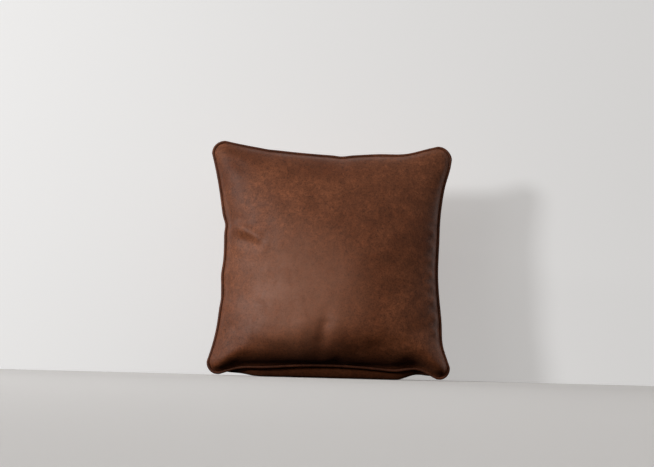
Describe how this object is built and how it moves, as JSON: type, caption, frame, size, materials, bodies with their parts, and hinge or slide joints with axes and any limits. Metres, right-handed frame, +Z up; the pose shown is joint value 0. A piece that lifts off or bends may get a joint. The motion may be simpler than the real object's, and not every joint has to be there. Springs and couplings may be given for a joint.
{
  "type": "throw pillow",
  "caption": "Square piped faux-leather throw pillow with a zip across its lower back and a stuffed insert, standing on its lower edge.",
  "frame": {"origin": "centre of the pillow's footprint, on the surface that it stands on", "axes": "+Z up, +X to the right as seen from the front, -Y is the front"},
  "size_m": [0.4594, 0.1598, 0.4456],
  "materials": {
    "faux_leather": "distressed matt brown with a soft sheen",
    "piping_leather": "the same faux leather, darker where it turns",
    "cotton_cord": "twisted cotton",
    "sewing_thread": "twisted polyester",
    "zip_tape": "woven herringbone",
    "zip_coil": "nylon coil",
    "zip_metal": "antique brass",
    "insert_ticking": "plain woven cotton",
    "polyester_fibre": "loose fibre",
    "label_cloth": "blank satin ribbon"
  },
  "bodies": {
    "cover": {"front_panel": "faux_leather", "back_upper_panel": "faux_leather", "back_lower_panel": "faux_leather", "piping_wrap": "piping_leather", "piping_cord": "cotton_cord", "seam_thread": "sewing_thread", "zip_tape_upper": "zip_tape", "zip_tape_lower": "zip_tape", "zip_coil_upper": "zip_coil", "zip_coil_lower": "zip_coil", "zip_top_stops": "zip_metal", "zip_bottom_stop": "zip_metal", "zip_topstitch_upper": "sewing_thread", "zip_topstitch_lower": "sewing_thread", "care_label": "label_cloth", "insert_label": "label_cloth", "insert_front_ticking": "insert_ticking", "insert_back_ticking": "insert_ticking", "insert_fill": "polyester_fibre"},
    "slider": {"zip_slider": "zip_metal"},
    "pull": {"zip_pull_tab": "zip_metal"}
  },
  "joints": [
    {"name": "zip_travel", "type": "hinge", "parent": "cover", "child": "slider", "pos_m": [0, -0.41366, 0.15342], "axis": [0, 0.0785, 0.9969], "range_deg": [0, 33.94]},
    {"name": "pull_flip", "type": "hinge", "parent": "slider", "child": "pull", "pos_m": [0.14155, 0.04725, 0.11663], "axis": [-0.0413, -0.2122, -0.9763], "range_deg": [0, 165]}
  ]
}
